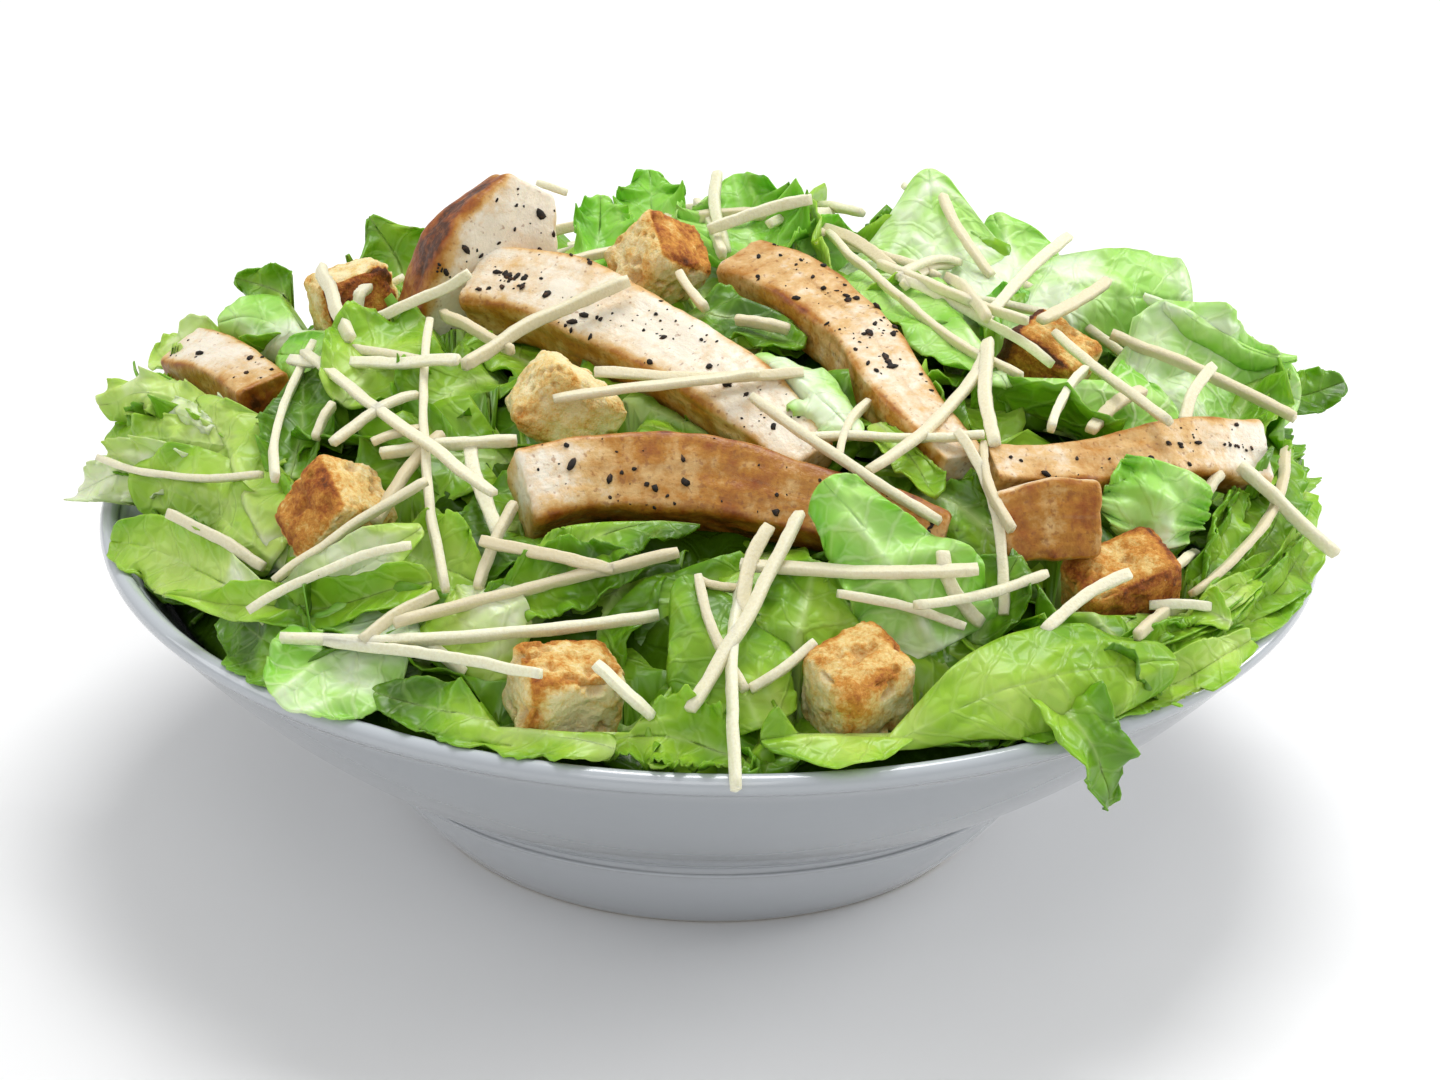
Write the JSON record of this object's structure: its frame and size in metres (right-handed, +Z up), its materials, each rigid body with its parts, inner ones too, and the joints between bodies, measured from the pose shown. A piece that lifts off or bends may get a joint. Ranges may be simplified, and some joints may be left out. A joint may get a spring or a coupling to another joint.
{
  "type": "chicken caesar salad in its bowl",
  "caption": "Mound of romaine with strips of grilled chicken, croutons and shredded cheese, heaped in a wide white porcelain bowl on a tapered foot.",
  "frame": {"origin": "centre of the bowl's foot, on the surface the bowl stands on", "axes": "+Z up along the bowl's axis; +X to the right of the side shown, along the line from the left bunch of leaves to the right one; +Y to the far side"},
  "size_m": [0.2623, 0.25, 0.1275],
  "materials": {
    "porcelain": "white clear-glazed porcelain, smooth and glossy",
    "romaine": "fresh torn romaine leaves, bright green to pale yellow-green ribs, moist and softly glossy",
    "grilled_chicken": "grilled chicken breast, cream cut faces, golden brown seared faces, cracked black pepper, moist satin",
    "toasted_bread": "toasted white bread croutons, pale crumb and golden to dark brown edges, matt and open-pored",
    "hard_cheese": "shredded hard cheese, pale cream, satin",
    "cracked_pepper": "cracked black peppercorns, matt"
  },
  "bodies": {
    "root": {"bowl": "porcelain", "lettuce_heap": "romaine", "chicken_upright": "grilled_chicken", "chicken_long_left": "grilled_chicken", "chicken_long_right": "grilled_chicken", "chicken_front": "grilled_chicken", "chicken_right": "grilled_chicken", "chicken_chunk": "grilled_chicken", "chicken_left": "grilled_chicken", "crouton_1": "toasted_bread", "crouton_2": "toasted_bread", "crouton_3": "toasted_bread", "crouton_4": "toasted_bread", "crouton_5": "toasted_bread", "crouton_6": "toasted_bread", "crouton_7": "toasted_bread", "crouton_8": "toasted_bread"}
  },
  "joints": []
}
